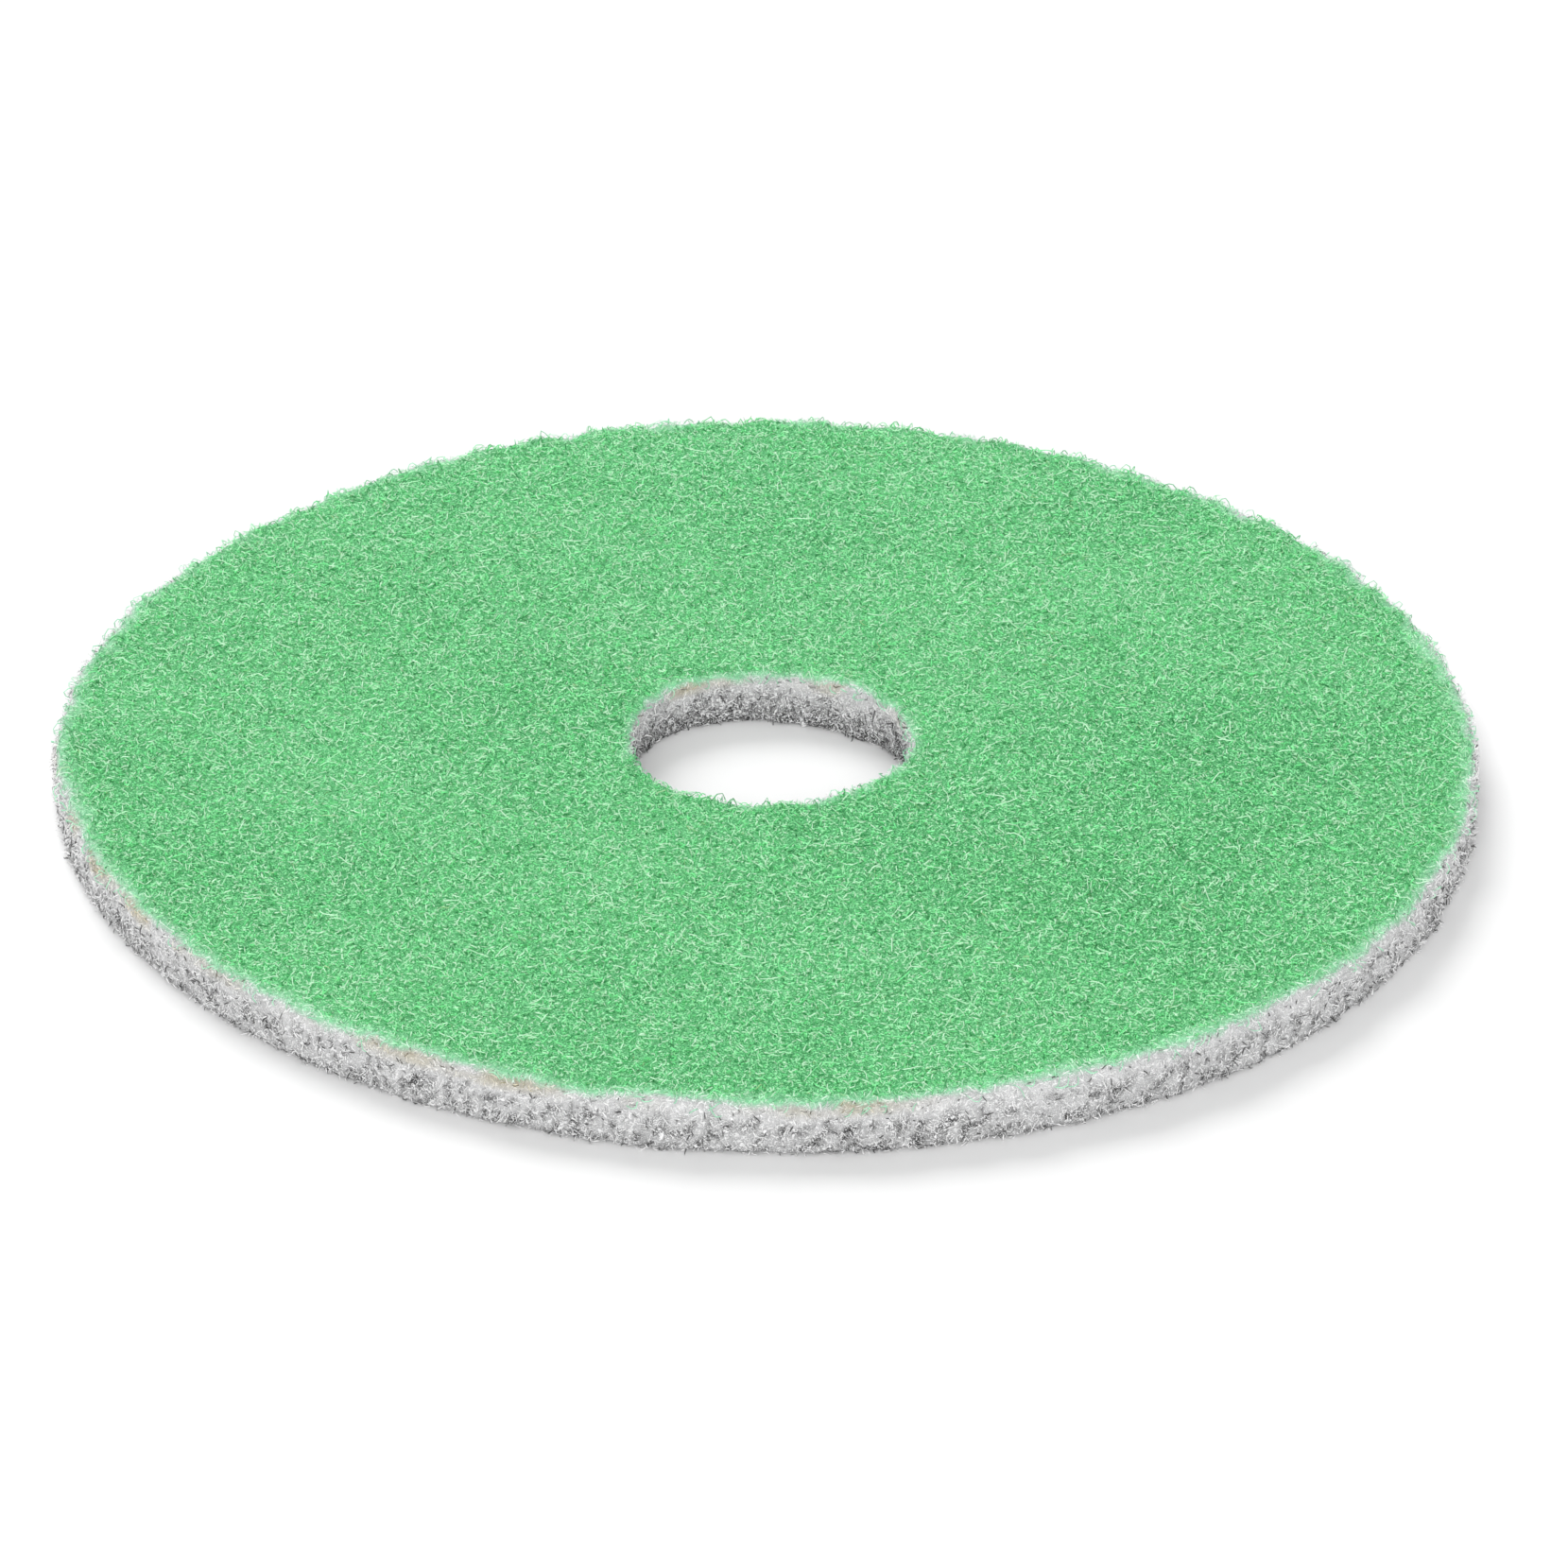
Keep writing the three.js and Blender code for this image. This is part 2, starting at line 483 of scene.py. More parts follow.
def foot_shade(points, form):
    """How much darker a wall is towards its foot, where less light reaches: most in the hole."""
    radius = np.hypot(points[:, 0], points[:, 1])
    depth = (form.high - points[:, 2]) / (form.high - form.low)
    in_hole = radius < form.hole_radius + 4 * MM
    at_rim = radius > form.rim_radius - 4 * MM
    return depth ** 2 * (0.5 * in_hole + 0.12 * at_rim)


def add_node(tree, kind, settings=(), values=(), links=()):
    """Adds a shader node, sets its settings and input values, and links its inputs."""
    node = tree.nodes.new(kind)
    for name, value in dict(settings).items():
        setattr(node, name, value)
    for key, value in dict(values).items():
        node.inputs[key].default_value = value
    for key, socket in dict(links).items():
        tree.links.new(socket, node.inputs[key])
    return node


def mix_colours(tree, share, first, second):
    """A blend of two colours, each a property's colour or a socket, by a share from 0 to 1."""
    values = {}
    links = {0: share}
    for key, colour in ((6, first), (7, second)):
        if isinstance(colour, bpy.types.NodeSocket):
            links[key] = colour
        else:
            values[key] = (*colour, 1)
    return add_node(tree, "ShaderNodeMix", {"data_type": "RGBA"}, values, links).outputs[2]


def ranged(tree, value, low, high):
    """The value's way from low to high, held between 0 and 1."""
    return add_node(
        tree, "ShaderNodeMapRange", (), {1: low, 2: high}, {0: value},
    ).outputs[0]


def three_tone(tree, share, dark, middle, light):
    """A blend from dark over a middle colour to light, by a share from 0 to 1."""
    lower = mix_colours(tree, ranged(tree, share, 0.0, 0.5), dark, middle)
    return mix_colours(tree, ranged(tree, share, 0.5, 1.0), lower, light)


def coated_colour(tree, colours, tint, shade):
    """Green of a coated fibre. Tint runs from a thin whitish coat over full green to olive, and
    shade from dark to light."""
    full = three_tone(tree, shade, colours.coat_dark, colours.coat_mid, colours.coat_light)
    thin = mix_colours(tree, shade, colours.thin_dark, colours.thin_light)
    olive = mix_colours(tree, shade, colours.olive_dark, colours.olive_light)
    coated = mix_colours(tree, ranged(tree, tint, 0.0, 0.5), thin, full)
    return mix_colours(tree, ranged(tree, tint, 0.5, 1.0), coated, olive)


def bare_colour(tree, colours, tint, shade):
    """Grey-white of a bare fibre. Tint runs to the tan of the resin, shade from dark to light."""
    plain = three_tone(tree, shade, colours.web_dark, colours.web_mid, colours.web_light)
    stained = mix_colours(tree, shade, colours.tan_dark, colours.tan_light)
    return mix_colours(tree, tint, plain, stained)


def new_material(name, roughness):
    """A polyester material of that roughness, with its Principled shader joined to the output."""
    material = bpy.data.materials.new(name)
    material.use_nodes = True
    tree = material.node_tree
    tree.nodes.clear()
    shader = add_node(
        tree, "ShaderNodeBsdfPrincipled", (), {"Roughness": roughness, "IOR": POLYESTER_IOR})
    add_node(tree, "ShaderNodeOutputMaterial", (), (), {"Surface": shader.outputs[0]})
    return material, tree, shader


def palette_place(tree):
    """A fibre's place on the palette map, as its tint and its shade."""
    place = add_node(tree, "ShaderNodeUVMap", {"uv_map": PALETTE_MAP})
    axes = add_node(tree, "ShaderNodeSeparateXYZ", (), (), {0: place.outputs[0]})
    return axes.outputs[0], axes.outputs[1]


def coated_fibre_material(colours):
    """Polyester fibre dipped in green abrasive resin: matt, with a faint gloss from the resin.
    Each fibre has its own place on the palette map, which gives its colour."""
    material, tree, shader = new_material(COATED_MATERIAL, 0.62)
    tint, shade = palette_place(tree)
    tree.links.new(coated_colour(tree, colours, tint, shade), shader.inputs["Base Color"])
    return material


def bare_fibre_material(colours):
    """Bare crimped polyester staple: greyish white and matt. Each fibre has its own place on the
    palette map, so that pale fibres lie beside dark ones as in an open web; the dark ones are
    partly painted shade on the deeper fibres and in the pores."""
    material, tree, shader = new_material(BARE_MATERIAL, 0.7)
    tint, shade = palette_place(tree)
    tree.links.new(bare_colour(tree, colours, tint, shade), shader.inputs["Base Color"])
    return material


def fibre_lines(tree, coordinates, width, shift):
    """A pattern of fine curly lines, 1 on a line and 0 off it: contours of a noise whose lumps
    have that width. Shift moves the pattern so that two of them differ."""
    moved = add_node(tree, "ShaderNodeMapping", (), {1: shift}, {0: coordinates})
    noise = add_node(tree, "ShaderNodeTexNoise", (),
                     {"Scale": 1 / width, "Detail": 1.0, "Distortion": 0.8},
                     {0: moved.outputs[0]})
    steps = add_node(tree, "ShaderNodeMath", {"operation": "MULTIPLY"}, {1: LINE_LEVELS},
                     {0: noise.outputs[0]})
    folded = add_node(tree, "ShaderNodeMath", {"operation": "PINGPONG"}, {1: 0.5},
                      {0: steps.outputs[0]})
    return ranged(tree, folded.outputs[0], 0.18, 0.03)


def web_material(colours):
    """Nonwoven polyester web, resin bonded, its upper face soaked in green abrasive resin. To the
    eye it is a felt of curly fibres over dark gaps. It lies under the laid fibres, so its lines are
    as fine as a fibre, and its gaps are painted dark, as the shade between the fibres."""
    material, tree, shader = new_material(WEB_MATERIAL, 0.85)
    place = add_node(tree, "ShaderNodeTexCoord")
    spot = place.outputs["Object"]
    coat = add_node(tree, "ShaderNodeAttribute", {"attribute_name": "coat"}).outputs[2]
    stain = add_node(tree, "ShaderNodeAttribute", {"attribute_name": "stain"}).outputs[2]
    tone = add_node(tree, "ShaderNodeAttribute", {"attribute_name": "tone"}).outputs[2]
    first = fibre_lines(tree, spot, LINE_WIDTHS[0], (0, 0, 0))
    second = fibre_lines(tree, spot, LINE_WIDTHS[1], LINE_SHIFT)
    lines = add_node(tree, "ShaderNodeMath", {"operation": "MAXIMUM"}, (), {0: first, 1: second})
    faint = add_node(tree, "ShaderNodeMath", {"operation": "MULTIPLY_ADD"}, {1: 0.7},
                     {0: lines.outputs[0], 2: tone})
    tint = add_node(tree, "ShaderNodeMath", {"operation": "MULTIPLY"}, {1: 0.5}, {0: coat})
    green = coated_colour(tree, colours, tint.outputs[0], faint.outputs[0])
    grey = bare_colour(tree, colours, stain, faint.outputs[0])
    colour = mix_colours(tree, ranged(tree, coat, 0.15, 0.5), grey, green)
    tree.links.new(colour, shader.inputs["Base Color"])
    relief = add_node(tree, "ShaderNodeBump", (), {"Strength": 0.8, "Distance": 0.4 * MM},
                      {"Height": lines.outputs[0]})
    tree.links.new(relief.outputs[0], shader.inputs["Normal"])
    return material


def material_once(name, make, colours):
    """The material of that name, made on its first use."""
    return bpy.data.materials.get(name) or make(colours)


def finish_piece(piece):
    """The piece rides on the pad's body and stands for its solid."""
    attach(piece, BODY)
    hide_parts(NODE)


def apply_displacement(piece, name, width, height):
    """Raises and lowers the surface by a cloudy pattern of that width and height."""
    pattern = bpy.data.textures.new(name, "CLOUDS")
    pattern.noise_scale = width
    pattern.noise_depth = 1
    bpy.ops.object.modifier_add(type="DISPLACE")
    modifier = piece.modifiers[-1]
    modifier.texture = pattern
    modifier.texture_coords = "LOCAL"
    modifier.strength = height
    modifier.mid_level = 0.5
    bpy.ops.object.modifier_apply(modifier=modifier.name)


def write_values(mesh, name, values):
    """Stores one number for each vertex, for the material to read."""
    layer = mesh.attributes.new(name, "FLOAT", "POINT")
    layer.data.foreach_set("value", values.astype(np.float32))


def read_points(mesh):
    """The mesh's vertices as rows of x, y and z."""
    points = np.empty(len(mesh.vertices) * 3, np.float32)
    mesh.vertices.foreach_get("co", points)
    return points.reshape(-1, 3).astype(float)


class FibreTemplate:
    """A fibre modelled once, as a closed three-sided spindle, for the copies to follow. One with
    a single ring is a cone whose flat end is raised to a tip, and one with more is a sphere."""

    def __init__(self, rings):
        deselect_all()
        steps = len(rings) - 1
        if steps == 2:
            bpy.ops.mesh.primitive_cone_add(
                vertices=3, radius1=1, radius2=0, depth=1, end_fill_type="TRIFAN")
        else:
            bpy.ops.mesh.primitive_uv_sphere_add(segments=3, ring_count=steps, radius=1)
        spindle = bpy.context.object
        points = read_points(spindle.data)
        is_tip = np.hypot(points[:, 0], points[:, 1]) < 0.01
        order = np.arccos(np.clip(points[:, 2], -1, 1)) / math.pi * steps
        rank = np.where(is_tip, steps * (points[:, 2] > 0), steps - np.round(order)).astype(int)
        self.along = np.array(rings)[rank]
        turn = np.arctan2(points[:, 1], points[:, 0])
        self.side = np.where(is_tip, 0, np.cos(turn))
        self.up = np.where(is_tip, 0, np.sin(turn))
        corner = np.where(is_tip, -1, np.round(turn / (2 * math.pi) * 3) % 3)
        self.faces = [tuple(face.vertices) for face in spindle.data.polygons]
        self.loops = np.array([v for face in self.faces for v in face])
        self.starts = np.cumsum([0] + [len(face) for face in self.faces])[:-1]
        self.map = np.array([m for face in self.faces for m in self.map_face(face, corner)])
        mesh = spindle.data
        bpy.data.objects.remove(spindle)
        bpy.data.meshes.remove(mesh)

    def map_face(self, face, corner):
        """Places the face's corners on the fibre's own small square of the palette map."""
        turns = {v: corner[v] for v in face if corner[v] >= 0}
        if max(turns.values()) - min(turns.values()) > 1:
            turns = {v: turn or 3 for v, turn in turns.items()}
        middle = sum(turns.values()) / len(turns)
        return [(turns.get(v, middle) / 3, self.along[v]) for v in face]


def bend_fibres(template, fibres, thickness):
    """Offsets of every template point from its fibre's middle: round the pad, along the section
    and up off the surface. Each fibre is a curve in a plane of its own: chord points along it,
    and bow across it, towards the side that it bends to. Bend makes an arch, set back by its mean
    height so that the fibre stays centred, and sway makes an S."""
    mean_arch = 0.08
    heading = fibres["heading"]
    pitch = fibres["pitch"]
    flat = np.cos(pitch)
    chord = np.stack([flat * np.cos(heading), flat * np.sin(heading), np.sin(pitch)], axis=1)
    across = np.stack([-np.sin(heading), np.cos(heading), np.zeros_like(heading)], axis=1)
    above = np.cross(chord, across)
    roll = fibres["roll"][:, None]
    bow = np.cos(roll) * across + np.sin(roll) * above
    side = np.cross(bow, chord)

    middle = template.along[None, :] - 0.5
    bend = fibres["bend"][:, None]
    sway = fibres["sway"][:, None]
    length = fibres["length"][:, None]
    forward = length * middle
    aside = length * (bend * (middle ** 2 - mean_arch) + sway * middle * (middle ** 2 * 4 - 1))
    slope = 2 * bend * middle + sway * (12 * middle ** 2 - 1)
    lean = 1 / np.sqrt(1 + slope ** 2)
    half = thickness / 2 * fibres["girth"][:, None]
    upward = half * template.up * lean
    forward = forward - upward * slope
    aside = aside + upward
    sideways = half * template.side
    return (forward[..., None] * chord[:, None, :] + aside[..., None] * bow[:, None, :]
            + sideways[..., None] * side[:, None, :])


def lay_fibres(name, template, form, fibres, thickness, material):
    """Copies the template along each fibre's line, all in one mesh."""
    count = len(fibres["way"])
    offsets = bend_fibres(template, fibres, thickness)
    way = fibres["way"][:, None] + offsets[..., 1]
    angle = fibres["angle"][:, None] + offsets[..., 0] / form.radius_at(fibres["way"])[:, None]
    lift = fibres["lift"][:, None] + offsets[..., 2]
    points = form.place(way, angle, lift).reshape(-1, 3)
    floor = form.low + FIBRE_CLEARANCE
    points[:, 2] = floor + np.abs(points[:, 2] - floor)

    per_fibre = len(template.along)
    firsts = np.arange(count) * per_fibre
    loops = (template.loops[None, :] + firsts[:, None]).reshape(-1)
    loop_count = len(template.loops)
    starts = (template.starts[None, :] + np.arange(count)[:, None] * loop_count).reshape(-1)
    mesh = bpy.data.meshes.new(name)
    mesh.vertices.add(len(points))
    mesh.vertices.foreach_set("co", points.astype(np.float32).reshape(-1))
    mesh.loops.add(len(loops))
    mesh.loops.foreach_set("vertex_index", loops.astype(np.int32))
    mesh.polygons.add(len(starts))
    mesh.polygons.foreach_set("loop_start", starts.astype(np.int32))
    # The copy's map fills the middle half of its palette square
    cell = np.stack([fibres["tint"], fibres["shade"]], axis=1)
    cell = np.floor(np.clip(cell, 0, 0.999) * PALETTE_STEPS)
    spots = (cell[:, None, :] + 0.25 + 0.5 * template.map[None, :, :]) / PALETTE_STEPS
    mesh.update(calc_edges=True)
    layer = mesh.uv_layers.new(name=PALETTE_MAP)
    layer.data.foreach_set("uv", spots.astype(np.float32).reshape(-1))
    mesh.polygons.foreach_set("use_smooth", np.ones(len(starts), bool))
    mesh.materials.append(material)
    mesh.update()
    piece = bpy.data.objects.new(name, mesh)
    bpy.context.scene.collection.objects.link(piece)
    return piece


def random_fibres(rng, form, kind, count, start, end):
    """Fibres of a kind, scattered between two stations of the section, lying every way on the
    surface and tilted out of it by about the kind's steepness."""
    way, angle = form.scatter(rng, count, start, end)
    return {
        "way": way,
        "angle": angle,
        "heading": rng.uniform(0, 2 * math.pi, count),
        "pitch": rng.normal(0, math.radians(kind.steepness), count),
        "roll": rng.uniform(0, 2 * math.pi, count),
        "length": rng.uniform(0.65, 1.35, count) * kind.length,
        "bend": rng.normal(0, kind.curl, count),
        "sway": rng.normal(0, kind.curl * 0.4, count),
        "girth": rng.uniform(0.8, 1.2, count),
    }


def keep_fibres(fibres, keep):
    """Only the fibres that are to be kept."""
    return {name: values[keep] for name, values in fibres.items()}


def colour_coated(rng, fibres, form, sizes, brightness):
    """Gives coated fibres their tint and shade, drawing the deeper ones darker and the uppermost
    lighter as painted shade and light, and drops those past the coating's edge.
    """
    spots = form.place(fibres["way"], fibres["angle"], fibres["lift"])
    coat = coat_share(spots, form, sizes)
    count = len(coat)
    olive = np.where(rng.random(count) < OLIVE_PART, rng.uniform(0.1, 0.45, count), 0)
    fibres["tint"] = 0.5 * smooth_step(coat, 0.1, 0.95) + olive
    height = fibres["lift"] / MM
    # Painted shade and light: the lower a fibre lies in the pile the darker it is drawn, and the
    # higher the lighter
    shade = brightness + 0.8 * height + rng.normal(0, 0.4, count) + face_shade(spots)
    fibres["shade"] = np.clip(shade, *SHADE_LIMITS)
    return keep_fibres(fibres, coat > rng.uniform(*COAT_LIMITS, count))


def colour_bare(rng, fibres, form, sizes, brightness):
    """Gives bare fibres their tint and shade, drawing the deeper ones darker and the upper ones
    lighter as painted shade and light, and drops those that the coating covers and some in the
    pores.
    """
    spots = form.place(fibres["way"], fibres["angle"], fibres["lift"])
    coat = coat_share(spots, form, sizes)
    count = len(coat)
    fibres["tint"] = np.clip(tan_share(spots, form) * rng.uniform(0.2, 1.4, count), 0, 0.98)
    height = fibres["lift"] / MM
    pore = pore_share(spots, form)
    # Painted shade and light: the lower a fibre lies the darker it is drawn, and a fibre in a pore
    # darker still, as the shade inside the pore
    shade = brightness + 0.7 * height + rng.normal(0, 0.42, count) - 0.45 * pore
    shade += 0.1 * upper_part(spots, form) - foot_shade(spots, form)
    fibres["shade"] = np.clip(shade, *SHADE_LIMITS)
    is_bare = coat < rng.uniform(*COAT_LIMITS, count)
    return keep_fibres(fibres, is_bare & (pore < rng.uniform(0.2, 1.6, count)))


def make_piece(context, name, form, kind, fibres, coated):
    """Makes one piece of fibres, coated or bare, with its material, and sets it on the pad's body.
    """
    sizes = context.scene.floorpad_sizes
    colours = context.scene.floorpad_colours
    if coated:
        thickness = sizes.fibre_thickness
        material = material_once(COATED_MATERIAL, coated_fibre_material, colours)
    else:
        thickness = sizes.bare_thickness
        material = material_once(BARE_MATERIAL, bare_fibre_material, colours)
    template = FibreTemplate(kind.rings)
    piece = lay_fibres(name, template, form, fibres, kind.girth * thickness, material)
    finish_piece(piece)


def lay_kind(context, name, form, kind, count, start, end, coated):
    """Scatters, colours and lays one kind of fibre between two stations of the section."""
    sizes = context.scene.floorpad_sizes
    rng = np.random.default_rng(kind.seed)
    fibres = random_fibres(rng, form, kind, count, start, end)
    fibres["lift"] = rng.uniform(kind.low, kind.high, count) * MM
    colour_fibres = colour_coated if coated else colour_bare
    fibres = colour_fibres(rng, fibres, form, sizes, kind.brightness)
    make_piece(context, name, form, kind, fibres, coated)


class FLOORPAD_OT_fibre_web(bpy.types.Operator):
    """Makes the pad's soft body from its solid: remeshed, drawn in under the fibre layer and
    given the lumps of a nonwoven web"""
    bl_idname = "floorpad.fibre_web"
    bl_label = "Fibre web"

    def execute(self, context):
        sizes = context.scene.floorpad_sizes
        form = PadForm(sizes)
        web = bpy.data.objects.new("fibre_web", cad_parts[NODE].data.copy())
        context.scene.collection.objects.link(web)
        web.data.materials.clear()
        activate(web)
        bpy.ops.object.mode_set(mode="EDIT")
        bpy.ops.mesh.select_all(action="SELECT")
        bpy.ops.mesh.remove_doubles(threshold=0.01 * MM)
        bpy.ops.object.mode_set(mode="OBJECT")
        web.data.remesh_voxel_size = sizes.voxel
        bpy.ops.object.voxel_remesh()
        if len(web.data.polygons) == 0:
            raise RuntimeError("the remesh left no faces")
        self.draw_in(web, form, sizes)
        apply_displacement(web, "web_lumps", sizes.lump_width, sizes.lump_height)
        apply_displacement(web, "web_swells", 5 * sizes.lump_width, 0.5 * sizes.lump_height)
        self.level(web, form)
        self.record_finish(web, form, sizes)
        bpy.ops.object.shade_smooth()
        colours = context.scene.floorpad_colours
        web.data.materials.append(material_once(WEB_MATERIAL, web_material, colours))
        finish_piece(web)
        return {"FINISHED"}

    def draw_in(self, web, form, sizes):
        """Moves the skin in by the depth of the fibre layer, and wavers the cut edges."""
        bpy.ops.object.modifier_add(type="DISPLACE")
        modifier = web.modifiers[-1]
        modifier.mid_level = 0
        modifier.strength = -sizes.body_inset
        bpy.ops.object.modifier_apply(modifier=modifier.name)
        points = read_points(web.data)
        radius = np.hypot(points[:, 0], points[:, 1])
        share = (radius + form.edge_waver(points, radius)) / radius
        points[:, 2] += form.edge_rise(points, radius)
        points[:, :2] *= share[:, None]
        web.data.vertices.foreach_set("co", points.astype(np.float32).reshape(-1))

    def level(self, web, form):
        """Keeps the body over the plane that it rests on."""
        points = read_points(web.data)
        points[:, 2] = np.maximum(points[:, 2], form.low + WEB_CLEARANCE)
        web.data.vertices.foreach_set("co", points.astype(np.float32).reshape(-1))
        web.data.update()

    def record_finish(self, web, form, sizes):
        """Stores where the web is coated, where it is stained and how bright it is. Under the coat
        it is nearly as dark as the darkest green, painted shade for the gaps between the fibres,
        and bare it is grey, darker in its pores as painted shade."""
        points = read_points(web.data)
        coat = coat_share(points, form, sizes)
        bare_tone = 0.32 + 0.06 * upper_part(points, form) - foot_shade(points, form)
        # Painted shade inside the pores
        bare_tone -= 0.3 * pore_share(points, form)
        # Painted shade: under the coat the web is drawn nearly as dark as the darkest green, for
        # the shade in the gaps between the fibres
        tone = coat * (0.04 + face_shade(points)) + (1 - coat) * bare_tone
        write_values(web.data, "coat", coat)
        write_values(web.data, "stain", 0.8 * tan_share(points, form))
        write_values(web.data, "tone", np.clip(tone, 0, 1))


class FLOORPAD_OT_coated_fibres(bpy.types.Operator):
    """Lays the green coated fibres of the working face: short ones all over, in a few pieces,
    and longer loose ones over them"""
    bl_idname = "floorpad.coated_fibres"
    bl_label = "Coated fibres"

    def execute(self, context):
        sizes = context.scene.floorpad_sizes
        form = PadForm(sizes)
        start = form.rim_shoulder - 1 * MM
        end = form.hole_shoulder + 1 * MM
        counts = (sizes.face_fibres, sizes.face_fibres, sizes.face_crimps, sizes.face_crimps)
        for layer, (kind, count) in enumerate(zip(FACE_KINDS, counts), 1):
            lay_kind(context, f"coated_fibres_{layer}", form, kind, count, start, end, True)
        lay_kind(context, "coated_fibres_loose", form, LOOSE_KIND, sizes.long_fibres, start, end,
                 True)
        return {"FINISHED"}


class FLOORPAD_OT_edge_loops(bpy.types.Operator):
    """Lays the arched fibres that stand out of the coated face's edges, at the rim and the hole"""
    bl_idname = "floorpad.edge_loops"
    bl_label = "Edge loops"

    def execute(self, context):
        sizes = context.scene.floorpad_sizes
        form = PadForm(sizes)
        rng = np.random.default_rng(LOOP_KIND.seed)
        parts = []
        for share, start, end in (
            (RIM_LOOP_SHARE, form.rim_shoulder, form.face_start + 3 * MM),
            (1 - RIM_LOOP_SHARE, form.face_end - 2 * MM, form.hole_shoulder),
        ):
            count = round(share * sizes.edge_loops)
            parts.append(random_fibres(rng, form, LOOP_KIND, count, start, end))
        fibres = {name: np.concatenate([part[name] for part in parts]) for name in parts[0]}
        count = len(fibres["way"])
        fibres["roll"] = rng.normal(math.pi / 2, 0.4, count)
        fibres["bend"] = rng.uniform(-2.6, -1.2, count)
        fibres["lift"] = rng.uniform(LOOP_KIND.low, LOOP_KIND.high, count) * MM
        coat = coat_share(form.place(fibres["way"], fibres["angle"], fibres["lift"]), form, sizes)
        fibres["tint"] = 0.12 + 0.36 * smooth_step(coat, 0.1, 0.95)
        fibres["shade"] = np.clip(rng.normal(LOOP_KIND.brightness, 0.15, count), 0.05, 0.98)
        make_piece(context, "edge_loops", form, LOOP_KIND, fibres, True)
        return {"FINISHED"}


class FLOORPAD_OT_bare_fibres(bpy.types.Operator):
    """Lays the bare fibres of the rim's wall, of the hole's wall, and of the underside, where they
    are pressed flat against what the pad lies on"""
    bl_idname = "floorpad.bare_fibres"
    bl_label = "Bare fibres"

    def execute(self, context):
        sizes = context.scene.floorpad_sizes
        form = PadForm(sizes)
        rim_end = form.face_start + 1.5 * MM
        hole_start = form.face_end - 1.5 * MM
        for name, kind, count, start, end in (
            ("rim_fibres", RIM_KIND, sizes.rim_fibres, form.rim_foot, rim_end),
            ("hole_fibres", HOLE_KIND, sizes.hole_fibres, hole_start, form.hole_foot),
            ("underside_fibres", UNDERSIDE_KIND, sizes.underside_fibres, form.hole_foot, form.end),
        ):
            lay_kind(context, name, form, kind, count, start, end, False)
        return {"FINISHED"}


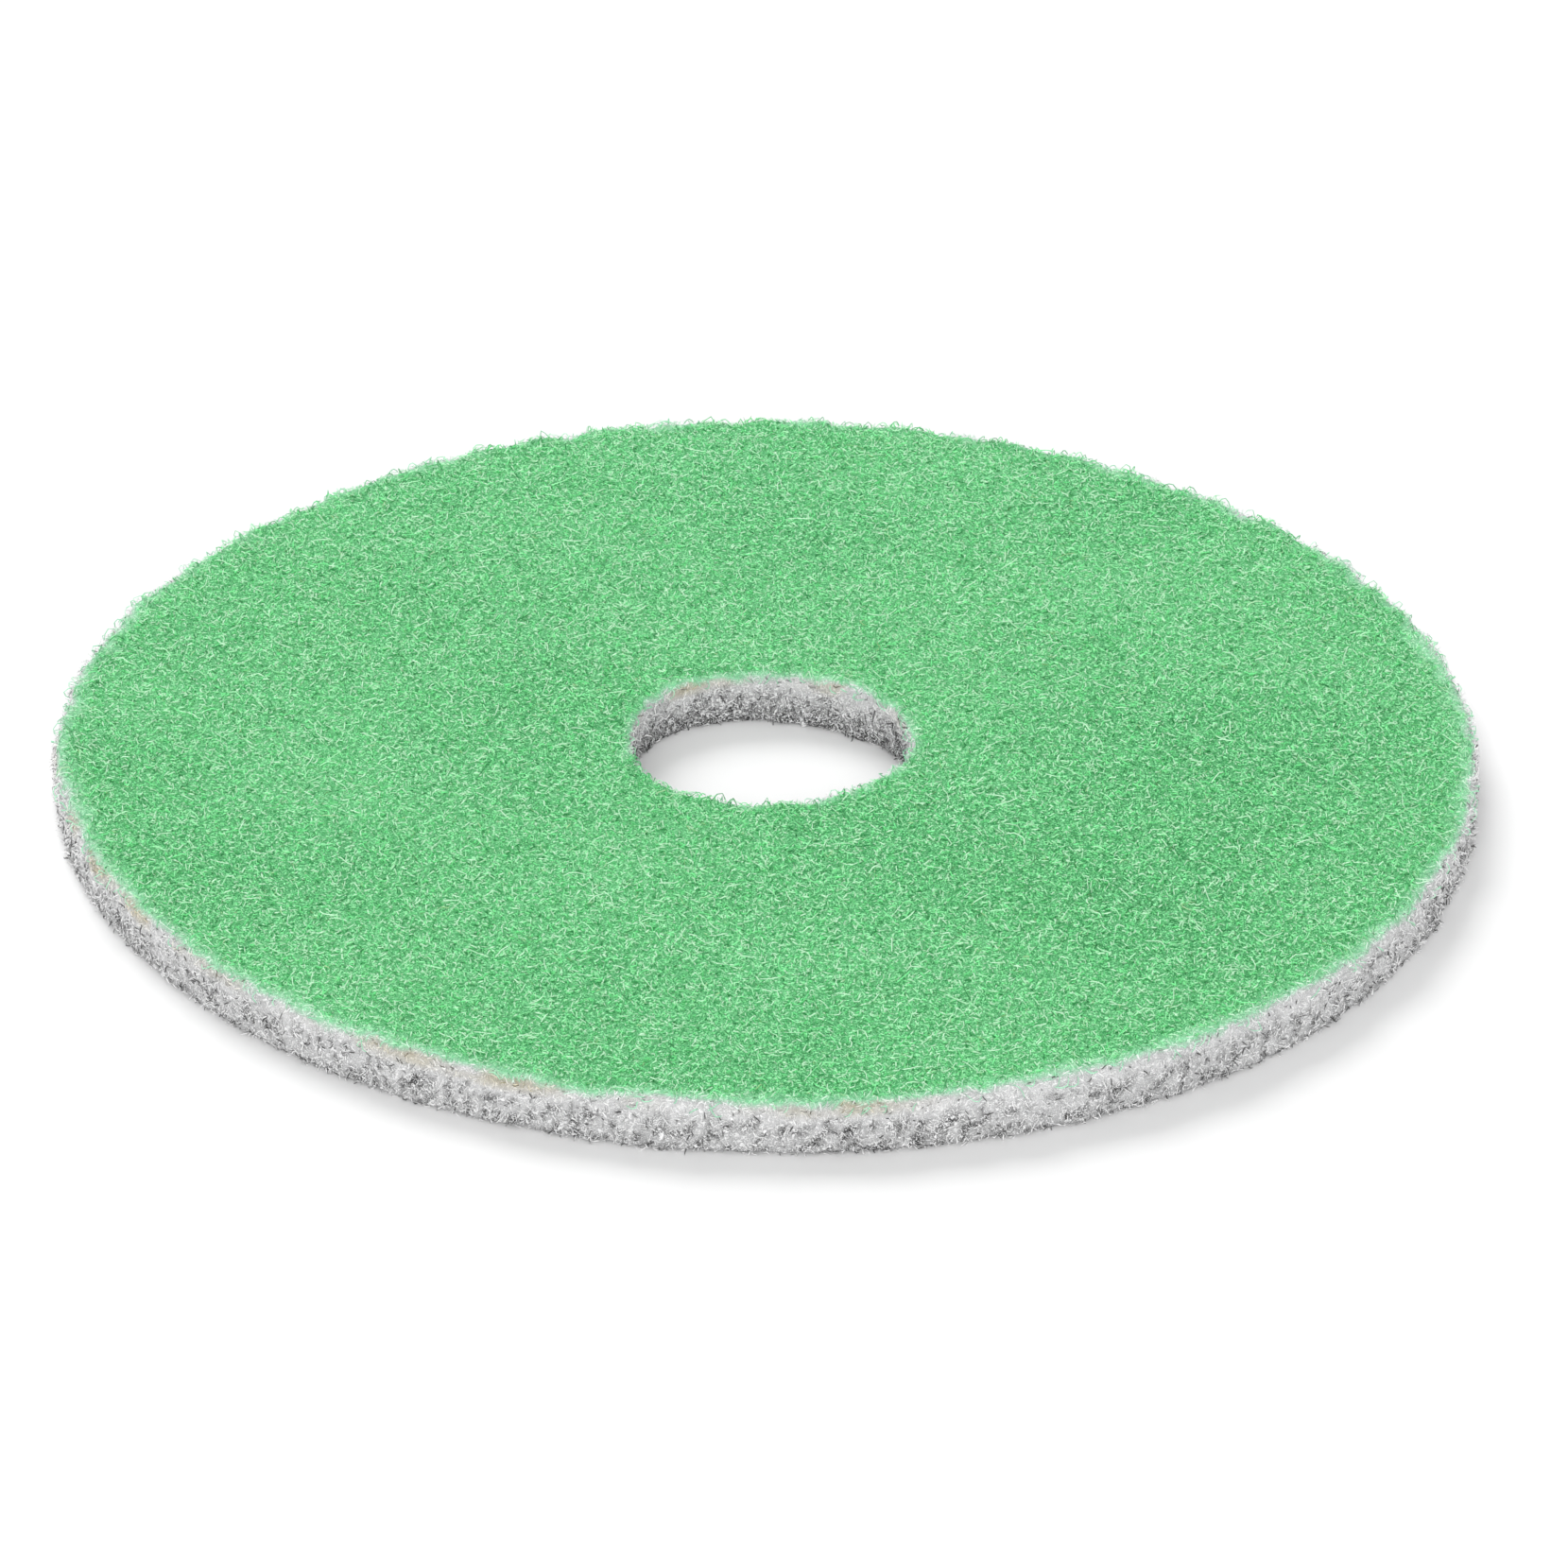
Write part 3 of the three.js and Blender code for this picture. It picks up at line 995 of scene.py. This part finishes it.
class FLOORPAD_OT_stage(bpy.types.Operator):
    """Sets the pale floor, the soft light and the camera"""
    bl_idname = "floorpad.stage"
    bl_label = "Stage"

    def execute(self, context):
        stage = context.scene.floorpad_stage
        colours = context.scene.floorpad_colours
        self.add_floor(colours)
        self.light_world(context.scene, stage)
        self.add_lamp(context.scene, "key", stage.key_elevation, math.pi + stage.key_azimuth,
                      stage.key_share, stage.key_softness)
        self.add_lamp(context.scene, "fill", stage.fill_elevation, 0,
                      stage.fill_share, stage.key_softness)
        self.add_camera(context.scene, stage)
        context.scene.view_settings.view_transform = "Standard"
        return {"FINISHED"}

    def seen_directly(self, tree):
        """1 for rays that the eye follows, straight or through gloss and glass, else 0."""
        path = add_node(tree, "ShaderNodeLightPath")
        seen = add_node(tree, "ShaderNodeMath", {"operation": "MAXIMUM"}, (),
                        {0: path.outputs["Is Camera Ray"], 1: path.outputs["Is Glossy Ray"]})
        return add_node(tree, "ShaderNodeMath", {"operation": "MAXIMUM"}, (),
                        {0: seen.outputs[0], 1: path.outputs["Is Transmission Ray"]}).outputs[0]

    def add_floor(self, colours):
        """A wide white floor that keeps the pad's shadow and is white where nothing shades it."""
        deselect_all()
        bpy.ops.mesh.primitive_plane_add(size=FLOOR_SIZE, location=(0, 0, 0))
        floor = bpy.context.object
        floor.name = "floor"
        material = bpy.data.materials.new("white_floor")
        material.use_nodes = True
        tree = material.node_tree
        tree.nodes.clear()
        matt = add_node(tree, "ShaderNodeBsdfDiffuse", (), {0: (*colours.floor, 1)})
        lift = add_node(tree, "ShaderNodeMath", {"operation": "MULTIPLY"}, {1: FLOOR_GLOW},
                        {0: self.seen_directly(tree)})
        glow = add_node(tree, "ShaderNodeEmission", (), (), {"Strength": lift.outputs[0]})
        both = add_node(tree, "ShaderNodeAddShader", (), (),
                        {0: matt.outputs[0], 1: glow.outputs[0]})
        add_node(tree, "ShaderNodeOutputMaterial", (), (), {"Surface": both.outputs[0]})
        floor.data.materials.append(material)

    def light_world(self, scene, stage):
        """Even white light from all round, and a white background."""
        world = bpy.data.worlds.new("studio")
        world.use_nodes = True
        tree = world.node_tree
        tree.nodes.clear()
        sky_share = stage.light_level - stage.key_share - stage.fill_share
        strength = add_node(tree, "ShaderNodeMapRange", (), {3: sky_share, 4: 1.0},
                            {0: self.seen_directly(tree)})
        sky = add_node(tree, "ShaderNodeBackground", (), {0: (1, 1, 1, 1)},
                       {1: strength.outputs[0]})
        add_node(tree, "ShaderNodeOutputWorld", (), (), {"Surface": sky.outputs[0]})
        scene.world = world

    def add_lamp(self, scene, name, elevation, azimuth, share, softness):
        """A broad distant lamp, so strong that it gives the face that share of its light."""
        lamp = bpy.data.lights.new(name, "SUN")
        lamp.angle = softness
        lamp.energy = math.pi * share / math.sin(elevation)
        piece = bpy.data.objects.new(name, lamp)
        scene.collection.objects.link(piece)
        tip = Matrix.Rotation(math.pi / 2 - elevation, 4, "X")
        piece.matrix_world = Matrix.Rotation(azimuth, 4, "Z") @ tip

    def add_camera(self, scene, stage):
        """A long lens that looks down on the pad from the front."""
        data = bpy.data.cameras.new("camera")
        data.sensor_width = 36
        data.lens = stage.focal_length
        data.clip_start = 0.05
        data.clip_end = 50
        camera = bpy.data.objects.new("camera", data)
        scene.collection.objects.link(camera)
        back = stage.distance * math.cos(stage.elevation)
        up = stage.distance * math.sin(stage.elevation)
        turn = Matrix.Rotation(-stage.pan, 4, "Z")
        tip = Matrix.Rotation(math.pi / 2 - stage.elevation + stage.tilt, 4, "X")
        roll = Matrix.Rotation(stage.roll, 4, "Z")
        camera.matrix_world = Matrix.Translation((0, -back, up)) @ turn @ tip @ roll
        scene.camera = camera


class FLOORPAD_PT_sidebar(bpy.types.Panel):
    """Lists the pad's pieces, sizes and colours"""
    bl_idname = "FLOORPAD_PT_sidebar"
    bl_label = "Floor pad"
    bl_space_type = "VIEW_3D"
    bl_region_type = "UI"
    bl_category = "Floor pad"

    def draw(self, context):
        scene = context.scene
        for operator in OPERATORS:
            self.layout.operator(operator.bl_idname)
        for group in (scene.floorpad_sizes, scene.floorpad_colours, scene.floorpad_stage):
            box = self.layout.box()
            for name in group.__annotations__:
                box.prop(group, name)


GROUPS = (FloorPadSizes, FloorPadColours, FloorPadStage)
OPERATORS = (
    FLOORPAD_OT_stage,
    FLOORPAD_OT_fibre_web,
    FLOORPAD_OT_coated_fibres,
    FLOORPAD_OT_edge_loops,
    FLOORPAD_OT_bare_fibres,
)


def register():
    """Registers the pieces of the add-on and puts their settings on the scene."""
    for kind in (*GROUPS, *OPERATORS, FLOORPAD_PT_sidebar):
        bpy.utils.register_class(kind)
    bpy.types.Scene.floorpad_sizes = bpy.props.PointerProperty(type=FloorPadSizes)
    bpy.types.Scene.floorpad_colours = bpy.props.PointerProperty(type=FloorPadColours)
    bpy.types.Scene.floorpad_stage = bpy.props.PointerProperty(type=FloorPadStage)


def unregister():
    """Takes the add-on out again."""
    del bpy.types.Scene.floorpad_stage
    del bpy.types.Scene.floorpad_colours
    del bpy.types.Scene.floorpad_sizes
    for kind in reversed((*GROUPS, *OPERATORS, FLOORPAD_PT_sidebar)):
        bpy.utils.unregister_class(kind)


def main():
    """Builds the pad and its stage."""
    register()
    bpy.ops.floorpad.stage()
    bpy.ops.floorpad.fibre_web()
    bpy.ops.floorpad.coated_fibres()
    bpy.ops.floorpad.edge_loops()
    bpy.ops.floorpad.bare_fibres()


if __name__ == "__main__":
    main()
